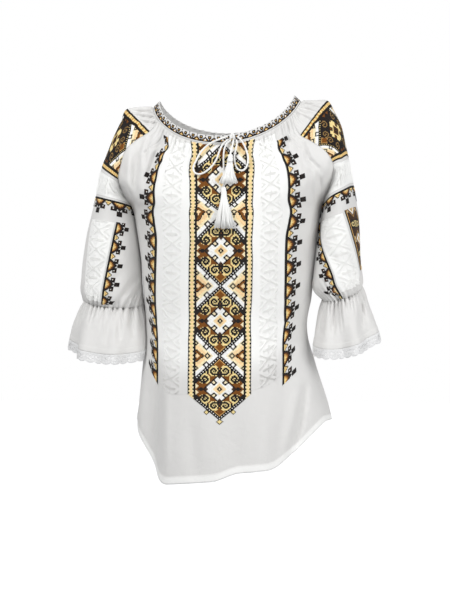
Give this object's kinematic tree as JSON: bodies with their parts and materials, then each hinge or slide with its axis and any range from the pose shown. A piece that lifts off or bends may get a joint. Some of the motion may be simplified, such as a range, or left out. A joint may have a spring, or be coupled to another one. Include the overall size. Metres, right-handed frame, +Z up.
{
  "type": "embroidered peasant blouse",
  "caption": "Hollow, worn-shaped cotton blouse with a gathered wide neck, raglan sleeves, ruffled lace-edged cuffs, a shirt-tail hem and a tasselled drawstring bow.",
  "frame": {"origin": "middle of the neck opening at shoulder height, where the wearer's shoulders hold the blouse", "axes": "+Z up, the front faces -Y, +X on the right of someone who faces the front"},
  "size_m": [0.5463, 0.2526, 0.6703],
  "materials": {
    "cotton": "cool white plain-woven cotton with soft folds, and panels of brown, gold and black cross stitch and white relief stitch",
    "neckband": "white cotton band with a brown, gold and black stitched border",
    "lace": "white cotton lace edging with a scalloped lower edge",
    "cord": "white twisted cotton cord and loose thread tassels"
  },
  "bodies": {
    "root": {"front_panel": "cotton", "back_panel": "cotton", "sleeve_left": "cotton", "sleeve_right": "cotton", "ruffle_left": "cotton", "ruffle_right": "cotton", "neckband": "neckband", "lace_left": "lace", "lace_right": "lace", "bow_knot": "cord", "bow_loop_left": "cord", "bow_loop_right": "cord", "cord_end_long": "cord", "cord_end_short": "cord", "tassel_long": "cord", "tassel_short": "cord"}
  },
  "joints": []
}
